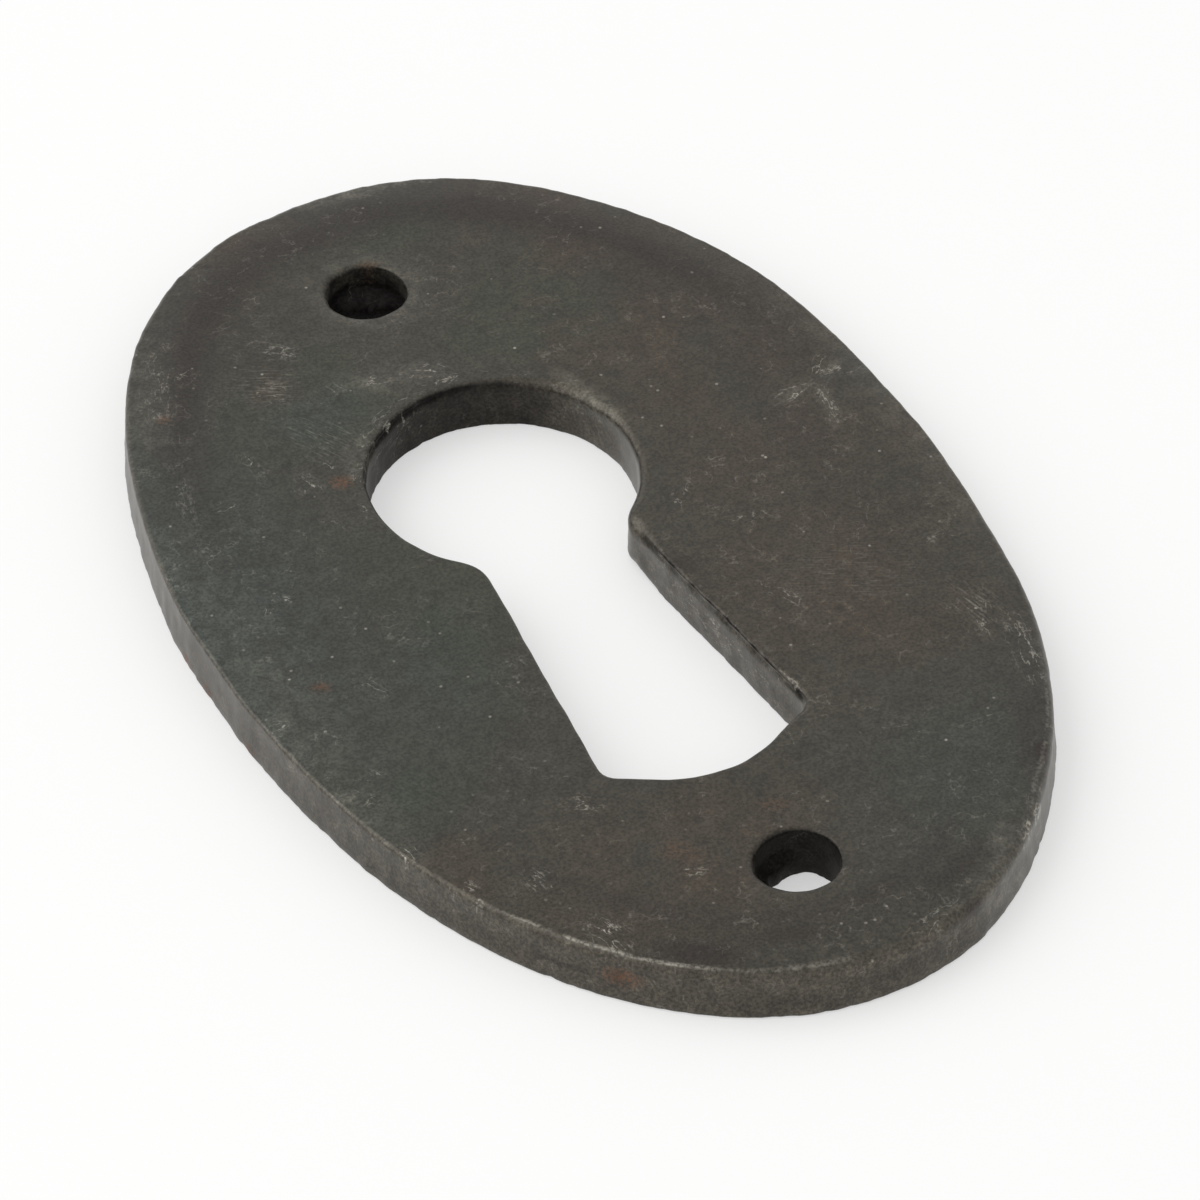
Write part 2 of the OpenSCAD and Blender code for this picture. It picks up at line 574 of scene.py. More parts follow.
@dataclass(frozen=True)
class Patch:
    """A soft-edged patch of a trace, on the front face or on the outer wall.

    Attributes:
        x, y: Place of its centre, in millimetres.
        length, breadth: Its size.
        turn: Angle of its length from +X, in degrees.
        strength: How strong the trace is in its middle.
        z: Height of its centre on the wall, or nothing for a patch on the front face.
        reach: How far to each side of its line a patch on the wall still finds the wall.
    """

    x: float
    y: float
    length: float
    breadth: float
    turn: float = 0.0
    strength: float = 1.0
    z: Optional[float] = None
    reach: float = 1.5

    def local(self, points: Array) -> tuple[Array, Array]:
        """Places points on the patch's own axes.

        Args:
            points: Three-dimensional points, in millimetres.

        Returns:
            Each point's place along and across the patch, and whether it is on the same surface.
        """
        turn = math.radians(self.turn)
        gap = points[:, :2] - np.array([self.x, self.y])
        along = gap @ np.array([math.cos(turn), math.sin(turn)])
        aside = gap @ np.array([-math.sin(turn), math.cos(turn)])
        if self.z is None:
            return np.stack([along, aside], axis=1), points[:, 2] > FRONT_ABOVE
        return np.stack([along, points[:, 2] - self.z], axis=1), np.abs(aside) < self.reach

    def weight(self, points: Array) -> Array:
        """Gives the trace's strength at each point, smoothly down to 0 at the patch's edge."""
        place, same_surface = self.local(points)
        off = np.hypot(place[:, 0] / (self.length / 2), place[:, 1] / (self.breadth / 2))
        fade = np.clip(1 - off, 0, 1)
        return self.strength * same_surface * fade * fade * (3 - 2 * fade)


# Every patch by its trace, with the numbers in the order of Patch's attributes
TRACES: dict[Trace, tuple[tuple[float, ...], ...]] = {
    Trace.TEAL: ((-17.5, 4, 28, 52, 0, 0.62), (-9.5, -4, 14, 20, 0, 0.3), (8, -18, 20, 17, 40, 0.3),
        (-6, 12.5, 8, 7, 0, 0.35)),
    Trace.GREEN: ((-5.5, 13, 12, 14, 0, 0.8), (-6.5, -1, 9, 17, 0, 0.9), (4.5, 14, 12, 12),
        (1.5, 22, 12, 6, 0, 0.9), (-12, -9.5, 8, 7, 0, 0.7)),
    Trace.BROWN: ((9.5, 8, 22, 40, 0, 0.75), (8, -7, 18, 24, 0, 0.75), (16, 4, 9, 34, 0, 0.9),
        (9, 18.5, 17, 11, -50, 1), (-4.5, -17.5, 22, 13, 0, 0.75), (-14, -13.5, 10, 10, 0, 1),
        (-6.9, 14.8, 5.5, 4.5, -28, 1), (-4, 24, 9, 4, 0, 0.8)),
    # Painted shade: bands inside the front edge near the two ends, where the face tilts, and
    # patches low on the outer wall
    Trace.DARK: ((-6.4, -22, 6, 2.2, -33, 1.2), (-2.8, -22.8, 7, 1.6, -20, 0.7),
        (4.7, -22.7, 8, 2, 12, 0.7), (10.8, -17.5, 12, 3, 60, 0.5), (7.3, 21.3, 6, 2.2, -42, 0.6),
        (15.3, -9.5, 8, 1.6, 78, 0.8), (10.6, -18.6, 2.6, 1.1, 60, 1.3),
        (9.6, -20.9, 2, 0.9, 50, 1.3), (7.3, -23.2, 2, 0.8, 40, 1.2),
        (4.2, -24.6, 2.4, 0.8, 25, 1.1), (3.2, -2.6, 2.2, 1.6, -60, 0.8), (10, 14, 10, 6, -60, 0.5),
        (-10.6, -19, 4, 0.35, -57, 1, 0.95), (11, 3, 40, 4.5, 90, 0.3), (-7.5, 17, 10, 5, -60, 0.3),
        (-4, -24.6, 9, 1.2, -22, 0.5, 0.7), (1, -25.3, 6, 1.4, 5, 0.4, 1)),
    Trace.WAX: ((2, 24.7, 9, 1.3, -5, 0.9), (-0.7, 18.5, 6.6, 6.6, 0, 0.8),
        (-14.5, -3, 44, 5, 90, 0.3), (15.6, 2, 40, 4, 90, 0.3), (7.2, -23.1, 9, 3.4, 40, 1, 1.2),
        (-13.5, -13, 30, 1.6, -62, 0.35, 1.5), (12.3, 4.45, 4.2, 1.2, 9, 0.6),
        (14.3, 5.1, 4.2, 1.2, 30, 0.5), (12.9, 3.1, 4.6, 1.1, 78, 0.5),
        (4.6, 8.2, 6.5, 1.6, -75, 0.7), (-5.4, 9.6, 4.5, 1.8, 60, 0.5),
        (-2.4, 13.2, 7, 2.4, -10, 0.6), (-11.5, 16.5, 12, 3, 62, 0.5)),
    Trace.SCUFF: ((-6.8, 15.2, 4.6, 3.4, -28, 0.6), (-6.3, 11, 6.5, 4, -62, 0.4),
        (8.9, -6.2, 10, 7, -27, 0.22), (12.4, -10, 4.4, 3.4, -75, 0.5)),
    # Pale curled marks; the ones along the lip of the keyhole's head are painted glints
    Trace.FIBRE_AND_GLINT: ((-5.5, 16.7, 2.8, 1.5, -30, 0.9), (-6.8, 14.6, 3.6, 2.6, -28, 0.7),
        (-9.7, 17.2, 2.4, 1.2, 17, 0.7), (-10.9, 17.2, 9.5, 2.2, 65, 0.7),
        (-12.9, 10.5, 7, 1.8, 75, 0.3), (-0.7, 12.8, 2.4, 1.2, -10, 1.6),
        (-2.6, 13.3, 2.8, 1.4, -15, 1.1), (-4.5, 13.5, 1.8, 0.7, -68, 1.2),
        (-3.2, 10.7, 2.6, 1, 25, 1.2), (-6, 8.3, 3, 0.9, 62, 0.8), (-4.9, 10, 3.4, 1.1, 45, 1.1),
        (-3, 11.3, 3.4, 1.1, 22, 1.1), (-0.5, 11.9, 4, 1, 0, 0.9), (2.2, 11.2, 3, 0.9, -28, 0.7),
        (-4, 10.1, 5, 1, 40, 0.6, 1.4), (2.9, -5.6, 14, 2.2, -84, 0.8, 1.2),
        (8.6, -21.6, 6, 1.6, 50, 1.1), (2.4, -24.6, 4, 1.2, 15, 0.9),
        (-9.5, 10.9, 2.2, 0.8, -73, 1.1), (-6.85, 9.2, 1.5, 0.8, -85, 1.2),
        (-8.05, 8.5, 2.6, 1.4, -85, 1.1), (-6.8, 6.35, 2.2, 0.8, -61, 1.2),
        (-8.3, 6.2, 1.6, 0.9, -66, 0.9), (-11.6, 9.1, 1.4, 1, -20, 1),
        (12.3, 4.45, 3.4, 1.4, 9, 1.2), (14.3, 4.7, 3.2, 1.2, 5, 1.1), (13.8, 5.4, 3, 1.1, 49, 1),
        (12.9, 3.1, 4, 1.1, 78, 1.1), (7.4, 2.5, 1.2, 1, 0, 1.1), (5.3, 1.25, 1.4, 0.6, 60, 1.1),
        (4.6, 1, 2, 1.2, -90, 0.8), (6.95, -1.3, 2.6, 1.8, -28, 0.8),
        (5.8, -5.9, 3.8, 1.1, -61, 0.9), (13.2, -6.1, 2, 1, -8, 0.8),
        (12.4, -10.8, 3.6, 1.6, 73, 1), (12.9, -13.4, 7, 1.8, 78, 1), (9.5, -16, 3.4, 1.2, 0, 0.5),
        (11.9, -18, 6, 1.4, 58, 1), (6.3, -15.2, 3, 1.4, -40, 0.5),
        (3.75, -10.7, 4.4, 1.8, -85, 0.4), (-12.6, 2.9, 1.8, 0.6, 39, 1.1),
        (-11.7, 3, 1.4, 0.6, -34, 1.1), (-10.9, -3.2, 2.8, 1.6, -67, 0.5),
        (-15.2, -3.4, 1.3, 0.7, 10, 1.1), (-13.8, -7.9, 1.3, 1, -25, 1.2),
        (-12.85, -7.8, 1.4, 0.7, -70, 1), (-13.7, -8.9, 1, 0.9, 0, 1.1),
        (-13.7, -12, 1.8, 1.3, -70, 1.1), (-12.6, -14.9, 2.6, 1.2, -75, 1.1),
        (-9.9, -15.9, 2.6, 1.6, -70, 0.9), (-8.9, -19.6, 3.2, 2, -76, 1.2),
        (-4.5, -18.1, 1.6, 1.2, -20, 1), (-6.6, -12.9, 2.6, 1.6, -28, 0.9),
        (-0.1, -16.4, 1.8, 1.1, -30, 0.8)),
    Trace.RUST: ((-6.8, 8.3, 1.5, 1.2, -28, 1.2), (-12.75, -2.2, 1.3, 0.9, -28, 0.9),
        (-11.6, 15.2, 0.9, 0.8, 0, 0.8), (-4.5, -16.9, 2.6, 1.8, -28, 0.35),
        (-0.1, -16.4, 2.2, 1, -28, 0.35), (0.2, 20.1, 1.6, 0.6, -30, 0.5),
        (-9, -20.8, 2.4, 1.3, -45, 1.4, 1.25), (-15.8, 3.8, 1.6, 0.9, 90, 1.5, 0.2),
        (-15.9, 1.7, 1.8, 1, 90, 1.6, 0.25), (-15.7, -2, 1.4, 0.9, 90, 1.4, 0.2)),
    Trace.RUBBED: ((-9.4, -20.5, 14, 5, -48, 1.7), (-3.4, -24.4, 9, 3, -20, 0.5),
        (3.8, -24.2, 6, 3, 18, 0.15), (11, -18, 15, 4, 56, 0.4)),
    Trace.SPECK: tuple((x, y, SPECK_SIZE, SPECK_SIZE) for x, y in ((-6.7, 15.9), (-7.6, 13.1),
        (-8.4, 13), (-5.9, 12), (-13.3, 8.9), (-8.9, 14.8), (15.3, -1.2), (12.3, 6.5), (9.6, 4.4),
        (13.9, 2.1), (14.8, 1.9), (9.2, 1.4), (10, 0.9), (8.6, -0.6), (12.9, 0.5), (-15.2, 5.7),
        (-14.1, -3), (-13.6, -4.7), (-13.2, -5), (-14.9, -0.1), (-9.3, -2.4))),
}


class NodeTree:
    """Adds nodes to the tree of one material or of the world."""

    def __init__(self, owner: Union[bpy.types.Material, bpy.types.World]) -> None:
        """Empties the owner's tree and keeps it."""
        owner.use_nodes = True
        self.tree = owner.node_tree
        self.tree.nodes.clear()

    def add(self, kind: str, inputs: Optional[dict] = None, **settings: object) -> bpy.types.Node:
        """Adds a node with its settings and links.

        Args:
            kind: Name of the node's type, without the word that all of them start with.
            inputs: Values or linked sockets, by the input's name or number.
            settings: Properties of the node.

        Returns:
            The new node.
        """
        node = self.tree.nodes.new("ShaderNode" + kind)
        for name, value in settings.items():
            setattr(node, name, value)
        for key, value in (inputs or {}).items():
            if isinstance(value, Socket):
                self.tree.links.new(value, node.inputs[key])
            else:
                node.inputs[key].default_value = value
        return node

    def noise(self, place: Socket, scale: float, detail: float,
              roughness: float = 0.5) -> Socket:
        """Samples noise at a place."""
        return self.add("TexNoise", {"Vector": place, "Scale": scale, "Detail": detail,
                                     "Roughness": roughness}).outputs["Fac"]

    def trace(self, name: str, output: str = "Fac") -> Socket:
        """Reads an attribute of the mesh."""
        return self.add("Attribute", attribute_name=name).outputs[output]

    def ramp(self, value: Value, low: float, high: float, start: float = 0.0,
             end: float = 1.0) -> Socket:
        """Maps a range of a value to another, smoothly and clamped."""
        return self.add("MapRange", {"Value": value, "From Min": low, "From Max": high,
                                     "To Min": start, "To Max": end},
                        interpolation_type="SMOOTHSTEP").outputs["Result"]

    def join(self, first: Value, *others: Value, by: str = "MULTIPLY") -> Value:
        """Joins values one after another, by multiplying them unless another way is named."""
        for other in others:
            first = self.add("Math", {0: first, 1: other}, operation=by).outputs[0]
        return first

    def contour(self, value: Value, outer: float, inner: float) -> Socket:
        """Draws a line where a noise crosses its middle, from its edge to its full strength."""
        off = self.join(self.join(value, 0.5, by="SUBTRACT"), 0.0, by="ABSOLUTE")
        return self.ramp(off, outer, inner)

    def stretch(self, vector: Value, factors: tuple[float, float, float]) -> Socket:
        """Scales a vector by a factor for each axis."""
        return self.add("VectorMath", {0: vector, 1: factors}, operation="MULTIPLY").outputs[0]

    def lay(self, under: Colour, over: Colour, share: Value) -> Socket:
        """Lays one colour over another by a share from 0 to 1."""
        return self.add("Mix", {"Factor": share, 6: under, 7: over}, data_type="RGBA").outputs[2]

    def seen(self) -> Socket:
        """Gives 1 where the camera or a reflection looks, and 0 where only light is gathered."""
        path = self.add("LightPath").outputs
        return self.join(*(path[f"Is {ray} Ray"] for ray in ("Camera", "Glossy", "Transmission")),
                         by="MAXIMUM")


class IronTree(NodeTree):
    """A tree with the noises that the iron's layers share, from the slow clouds to the grain."""

    def __init__(self, owner: bpy.types.Material, cloud_mm: float, mottle_mm: float,
                 grain_mm: float) -> None:
        """Adds the shared noises at their real sizes."""
        super().__init__(owner)
        self.place = self.add("TexCoord").outputs["Object"]
        self.cloud = self.noise(self.place, per_metre(cloud_mm), 3.0, 0.6)
        self.mottle = self.noise(self.place, per_metre(mottle_mm), 3.0, 0.6)
        self.grain = self.noise(self.place, per_metre(grain_mm), 2.0, 0.6)


@dataclass(frozen=True)
class ForgedWaxedIron:
    """Forged iron, blackened by heat and rubbed with wax.

    The hammer and the fire leave a dark, slightly pitted skin, and the wax gives it a soft sheen:
    a dull metal, greenish or brownish by turns, with fine scratches, pale dust in the pits and a
    paler line where the front edge has been rubbed. Painted shade darkens the holes, the groove
    under the keyhole's edge and bands near the ends; the walls' lighter tone is partly painted
    reflection, and some pale marks along the keyhole's lip are painted glints.
    The real grain, dust and curled marks are a few hundredths of a millimetre wide. Here they are
    two to three times as coarse, because finer ones don't show in a picture of the whole plate.
    """

    skin: str = "#3C3931"
    teal: str = "#36423F"
    green: str = "#383C30"
    brown: str = "#43392E"
    # Colour of the painted shade on the face and the outer wall
    painted_shade: str = "#2D2722"
    # Lighter than the skin: partly painted reflection on the walls
    wall: str = "#4B463D"
    # Colour of the painted shade inside the holes and in the groove under the keyhole's edge
    hollow_shade: str = "#242221"
    rust: str = "#5F4431"
    bared: str = "#A29E94"
    wax: str = "#646157"
    metallic: float = 1.0
    roughness: float = 0.47
    coat: float = 0.5
    coat_roughness: float = 0.3
    cloud_mm: float = 3.5
    mottle_mm: float = 0.7
    streak_mm: float = 0.6
    streak_stretch: tuple[float, float, float] = (1.0, 1.0, 0.75)
    grain_mm: float = 0.13
    speck_mm: float = 0.4
    curl_mm: tuple[float, float] = (1.0, 0.4)
    scratch_mm: tuple[float, float] = (0.9, 0.09)
    faint_mm: float = 0.9
    pit_mm: float = 1.3
    grain_depth_mm: float = 0.02
    bared_share: float = 0.62
    faint_share: float = 0.24
    speck_gain: float = 1.6
    pit_shade: float = 0.3

    def tinted(self, n: IronTree) -> Colour:
        """Lays the tints over the skin, each where its attribute and the noise let it."""
        colour = linear(self.skin)
        broken = (0.2, 0.6, 0.6, 1.0)
        # The wall tone is partly painted reflection, and two of the tints are painted shade
        for tint, name, share in (
                (self.brown, "brown", n.ramp(n.cloud, 0.3, 0.6)),
                (self.green, "green", n.ramp(n.cloud, 0.7, 0.4)),
                (self.teal, "teal", n.ramp(n.mottle, *broken)),
                (self.wall, "wall", 1.0),
                (self.painted_shade, "painted_shade", n.ramp(n.mottle, *broken)),
                (self.hollow_shade, "hollow_shade", 1.0),
                (self.wax, "wax", n.ramp(n.mottle, 0.25, 0.75, 0.3, 1.0))):
            colour = n.lay(colour, linear(tint), n.join(n.trace(name), share))
        return colour

    def drawn(self, n: IronTree, name: str, size_mm: tuple[float, float], detail: float) -> Value:
        """Samples noise drawn out along each patch that an attribute lays on the face."""
        along, across = size_mm
        place = n.stretch(n.trace(name, "Vector"), (1 / along, 1 / across, 0))
        return n.noise(place, 1.0, detail)

    def scuffs(self, n: IronTree) -> Value:
        """Draws the fine parallel scratches."""
        scratches = self.drawn(n, "scuff_place", self.scratch_mm, 2.0)
        return n.join(n.trace("scuff"), n.ramp(scratches, 0.5, 0.72))

    def bared_metal(self, n: IronTree, scuffs: Value) -> Value:
        """Joins the pale traces: scratches, marks and painted glints, the rubbed edge, dust and
        specks.
        """
        curl = n.contour(self.drawn(n, "fibre_and_glint_place", self.curl_mm, 3.0), 0.028, 0.006)
        curls_and_glints = n.join(n.trace("fibre_and_glint"), curl, n.ramp(n.mottle, 0.4, 0.55),
                        n.ramp(n.grain, 0.3, 0.5, 0.3, 1.0))
        faint = n.join(n.contour(n.noise(n.place, per_metre(self.faint_mm), 4.0), 0.02, 0.004),
                       n.ramp(n.cloud, 0.44, 0.62),
                       n.ramp(n.mottle, 0.42, 0.6, 0.0, self.faint_share))
        rubbed = n.join(n.trace("arris"), n.ramp(n.mottle, 0.36, 0.52),
                        n.ramp(n.grain, 0.3, 0.5, 0.35, 1.0))
        cells = n.add("TexVoronoi", {"Vector": n.place, "Scale": per_metre(self.speck_mm)}).outputs
        dots = n.ramp(cells["Distance"], 0.22, 0.09)
        dust = n.join(dots, n.ramp(cells["Color"], 0.79, 0.96))
        speck = n.join(dots, n.trace("speck"), self.speck_gain)
        shown = n.join(scuffs, curls_and_glints, faint, rubbed, dust, speck, by="MAXIMUM")
        return n.join(shown, 1.0, by="MINIMUM")

    def shade(self, n: IronTree, pits: Value) -> Value:
        """Gives how much lighter or darker than its tints the iron is, more so on the walls."""
        place = n.stretch(n.place, self.streak_stretch)
        streak = n.noise(place, per_metre(self.streak_mm), 3.0, 0.6)
        shade = n.join(n.ramp(n.mottle, 0.2, 0.8, 0.82, 1.18),
                       n.ramp(n.grain, 0.3, 0.7, 0.66, 1.34))
        for pattern, swing in ((streak, 0.18), (n.grain, 0.12)):
            more = n.join(n.ramp(pattern, 0.3, 0.7, -swing, swing), n.trace("wall"))
            shade = n.join(shade, n.join(more, 1.0, by="ADD"))
        return n.join(shade, n.join(1.0, n.join(pits, self.pit_shade), by="SUBTRACT"))

    def material(self) -> bpy.types.Material:
        """Builds the material from the mesh's attributes and from noise at real sizes."""
        made = bpy.data.materials.new("forged_waxed_iron")
        n = IronTree(made, self.cloud_mm, self.mottle_mm, self.grain_mm)
        scuffs = self.scuffs(n)
        rusted = n.join(n.trace("rust"), n.ramp(n.grain, 0.35, 0.6))
        cells = n.add("TexVoronoi", {"Vector": n.place, "Scale": per_metre(self.pit_mm)}).outputs
        pits = n.join(n.ramp(cells["Distance"], 0.26, 0.1), n.ramp(cells["Color"], 0.62, 0.9))
        bared = n.join(self.bared_metal(n, scuffs), self.bared_share)
        colour = n.lay(self.tinted(n), linear(self.bared), bared)
        colour = n.lay(colour, linear(self.rust), rusted)
        toned = n.add("VectorMath", {0: colour, "Scale": self.shade(n, pits)}, operation="SCALE")
        # Rougher and less waxed where shade is painted in the holes and the groove
        rough = n.join(n.ramp(n.grain, 0.2, 0.8, self.roughness - 0.06, self.roughness + 0.08),
                       n.join(rusted, 0.2), n.join(n.trace("hollow_shade"), 0.25), by="ADD")
        waxed = n.join(n.join(1.0, n.join(n.trace("hollow_shade"), 0.9), by="SUBTRACT"), self.coat)
        height = n.join(n.join(n.grain, 0.6), n.join(n.mottle, 0.4), n.join(scuffs, -0.3),
                        n.join(pits, -0.8), by="ADD")
        bump = n.add("Bump", {"Height": height, "Distance": self.grain_depth_mm * MM})
        surface = n.add("BsdfPrincipled", {
            "Base Color": toned.outputs[0], "Metallic": self.metallic, "Roughness": rough,
            "Coat Weight": waxed, "Coat Roughness": self.coat_roughness,
            "Normal": bump.outputs[0]})
        n.add("OutputMaterial", {"Surface": surface.outputs[0]})
        return made


def clearance(points: Array, rims: list[Rim], level: int) -> Array:
    """Gives how far points are inside the nearest ring of a level, negative outside it."""
    room = np.full(len(points), np.inf)
    for rim in rims:
        distance, near = rim.depth_of(points)
        inset = np.einsum("ij,ij->i", rim.rings[level][:, :2] - rim.loop, rim.into)
        room = np.minimum(room, distance - inset[near])
    return room


def fill(rims: list[Rim], level: int, spacing: float,
         generator: np.random.Generator) -> tuple[Array, Array]:
    """Fills the space between the rims' rings of one level with small triangles.

    Args:
        rims: The rims, the outer one first.
        level: Number of the ring.
        spacing: Distance between the points inside.
        generator: Source of the points' small random shifts.

    Returns:
        The points inside, and triangles that count the rings' points first.
    """
    edges = [rim.rings[level][:, :2] for rim in rims]
    shift, margin = 0.15 * spacing, 0.55 * spacing
    low, high = edges[0].min(axis=0), edges[0].max(axis=0)
    grid_x, grid_y = np.meshgrid(np.arange(low[0], high[0], spacing),
                                 np.arange(low[1], high[1], spacing * math.sqrt(3) / 2))
    grid_x[1::2] += spacing / 2
    inside = np.stack([grid_x.ravel(), grid_y.ravel()], axis=1)
    inside += generator.uniform(-shift, shift, inside.shape)
    inside = inside[clearance(inside, rims, level) > margin]
    borders, start = [], 0
    for edge in edges:
        borders += [(start + i, start + (i + 1) % len(edge)) for i in range(len(edge))]
        start += len(edge)
    flat = np.vstack([*edges, inside])
    only_inside, tolerance, with_sources = 1, 1e-6, True
    result = geometry.delaunay_2d_cdt([Vector(p) for p in flat], borders, [], only_inside,
                                      tolerance, with_sources)
    if len(result[0]) != len(flat):
        raise ValueError(f"the sheet's edges cross: {len(result[0])} points from {len(flat)}")
    triangles = np.array([ids[0] for ids in result[3]])[np.array(result[2])]
    log.info("sheet: %d edge points, %d inside", start, len(inside))
    return inside, triangles[clearance(flat[triangles].mean(axis=1), rims, level) > 0]


@dataclass
class EscutcheonPlate:
    """The plate: one piece of iron with its keyhole and two nail holes.

    Attributes:
        length, width: Size of the oval, in millimetres.
        thickness: Thickness at the flat middle.
        shade_bands: Bands of painted shade inside the front edge, where the face falls away: the
        heading of each from the plate's middle and half its spread in degrees, its distance from
        the edge, half its width, its strength.
        rim_spacing: Distance between points along the oval, the keyhole and each nail hole.
        wall_share: Share of the climb to the front face over which the wall's tone ends.
        line_at: Where the painted shade line in the groove lies in that climb, and half its width.
        rubbed_at: Rings from the front face to the rubbed line, and half its width.
    """

    length: float
    width: float
    thickness: float
    finish: ForgedWaxedIron = field(default_factory=ForgedWaxedIron)
    keyhole: Keyhole = field(default_factory=Keyhole)
    holes: tuple[NailHole, NailHole] = (
        NailHole(-0.7, 18.5, lump_depth=1.0),
        NailHole(-0.7, -19.5, hollow_shade=0.85, lump_depth=0.5, lump_heading=125.0))
    shade_bands: tuple[tuple[float, float, float, float, float], ...] = (
        (88.0, 48.0, 1.9, 1.2, 1.0), (-100.0, 22.0, 2.3, 0.6, 0.45))
    shade_band_waves: Wave = Wave(0.35, 2.5, 8.1)
    rim_spacing: tuple[float, float, float] = (0.25, 0.2, 0.15)
    front_spacing: float = 0.17
    back_spacing: float = 0.6
    wall_share: float = 0.25
    line_waves: Wave = Wave(1.3, 0.4, 7.2, 1)
    line_at: tuple[float, float] = (0.77, 0.11)
    line_mean: float = 0.8
    line_most: float = 1.3
    line_strength: float = 1.5
    rubbed_at: tuple[float, float] = (1.6, 0.7)
    rubbed_least: float = 0.03
    seed: int = 7

    def build(self) -> bpy.types.Object:
        """Builds the plate's mesh, dresses it and puts it in the CAD plate's place."""
        generator = np.random.default_rng(self.seed)
        face = HammeredFace(self.thickness)
        by_oval, by_keyhole, by_hole = self.rim_spacing
        outer = Oval(self.length, self.width).rim(by_oval)
        rims = [outer, self.keyhole.rim(by_keyhole), *(hole.rim(by_hole) for hole in self.holes)]
        for rim in rims:
            rim.climb(face, outer)
        points = [np.vstack(rim.rings) for rim in rims]
        faces: list[list[int]] = []
        edge_ids: dict[int, list[int]] = {0: [], -1: []}
        start = 0
        for rim, stack in zip(rims, points):
            ids = np.arange(start, start + len(stack)).reshape(len(rim.rings), -1)
            following = np.roll(ids, -1, axis=1)
            corners = [ids[:-1], following[:-1], following[1:], ids[1:]]
            faces += np.stack(corners, axis=-1).reshape(-1, 4).tolist()
            for level, known in edge_ids.items():
                known += ids[level].tolist()
            start += ids.size
        for level, spacing, order in ((-1, self.front_spacing, 1), (0, self.back_spacing, -1)):
            inside, triangles = fill(rims, level, spacing, generator)
            front = level == -1  # the back face is at height 0
            z = face.height(inside, outer.past_edge(inside)) * front
            points.append(np.column_stack([inside, z]))
            ids = np.array(edge_ids[level] + list(range(start, start + len(inside))))
            faces += ids[triangles][:, ::order].tolist()
            start += len(inside)
        return self.dress(np.vstack(points), faces, rims)

    def border(self, points: Array, outer: Rim) -> Array:
        """Paints shade in bands inside the front edge at the plate's two ends, where the face falls
        away.

        Args:
            points: All points, in millimetres.
            outer: The outer rim.

        Returns:
            Strength of the painted shade at each point.
        """
        painted_band = np.zeros(len(points))
        front = points[:, 2] > FRONT_ABOVE
        inward = outer.past_edge(points[front, :2])
        around = np.degrees(np.arctan2(points[front, 1], points[front, 0]))
        uneven = 1 + self.shade_band_waves.at(points[front])
        for toward, spread, middle, half_width, strength in self.shade_bands:
            # Full to 0.6 of its spread, and gone at 1.6
            near = rise(np.abs(around - toward) / spread, 1.6, 0.6)
            painted_band[front] += strength * near * np.exp(-((inward - middle) / half_width) ** 2) * uneven
        return np.clip(painted_band, 0, 1)

    def stains(self, points: Array) -> tuple[dict[str, Array], dict[str, Array]]:
        """Lays the patches of every trace.

        Args:
            points: All points, in millimetres.

        Returns:
            Strength of each trace at each point, and the patch's own axes for scratches and marks.
        """
        layers = {trace.value: np.zeros(len(points)) for trace in Trace}
        places = {trace.value: np.zeros((len(points), 3)) for trace in (Trace.SCUFF, Trace.FIBRE_AND_GLINT)}
        for trace, rows in TRACES.items():
            layer, place = layers[trace.value], places.get(trace.value)
            for row in rows:
                patch = Patch(*row)
                weight = patch.weight(points)
                if place is not None:
                    stronger = weight > layer
                    # Each patch samples its own part of the noise
                    shift = np.array([patch.x, patch.y]) * 3
                    place[stronger, :2] = patch.local(points[stronger])[0] + shift
                np.maximum(layer, weight, out=layer)
        return layers, places

    def tone_walls(self, layers: dict[str, Array], rims: list[Rim]) -> None:
        """Adds what depends on the height in each rim: the wall tone, partly painted reflection,
        the painted shade in the holes and the groove, and the rubbed line.

        Args:
            layers: Strength of each trace at each point, to which it adds.
            rims: The rims, the outer one first.
        """
        for name in ("wall", "hollow_shade", "arris"):
            layers[name] = np.zeros(len(layers["rubbed"]))
        start = 0
        for rim in rims:
            last = len(rim.rings) - 1
            for level, ring in enumerate(rim.rings):
                span = slice(start, start + len(ring))
                climbed = level / last
                low = min(1.0, (1 - climbed) / self.wall_share)
                # Painted shade: a thin line in the groove under the front edge, added to the shade
                # painted on the walls of the holes
                broken = np.clip(self.line_mean + self.line_waves.at(ring), 0, self.line_most)
                line = math.exp(-((climbed - self.line_at[0]) / self.line_at[1]) ** 2)
                line = self.line_strength * broken * rim.undercut / self.keyhole.undercut * line
                layers["wall"][span] = low
                layers["hollow_shade"][span] = np.clip(rim.hollow_shade * low + line, 0, 1)
                if rim is rims[0]:
                    line = math.exp(-((last - level - self.rubbed_at[0]) / self.rubbed_at[1]) ** 2)
                    rubbed = np.clip(self.rubbed_least + layers["rubbed"][span], 0, 1)
                    layers["arris"][span] = line * rubbed
                start += len(ring)

    def dress(self, points: Array, faces: list[list[int]], rims: list[Rim]) -> bpy.types.Object:
        """Makes the Blender object, with the attributes that its finish reads.

        Args:
            points: All points, in millimetres.
            faces: Point numbers of each face.
            rims: The rims, the outer one first.

        Returns:
            The finished object.
        """
        mesh = bpy.data.meshes.new("forged_plate")
        mesh.from_pydata((points * MM).tolist(), [], faces)
        mesh.polygons.foreach_set("use_smooth", [True] * len(mesh.polygons))
        layers, places = self.stains(points)
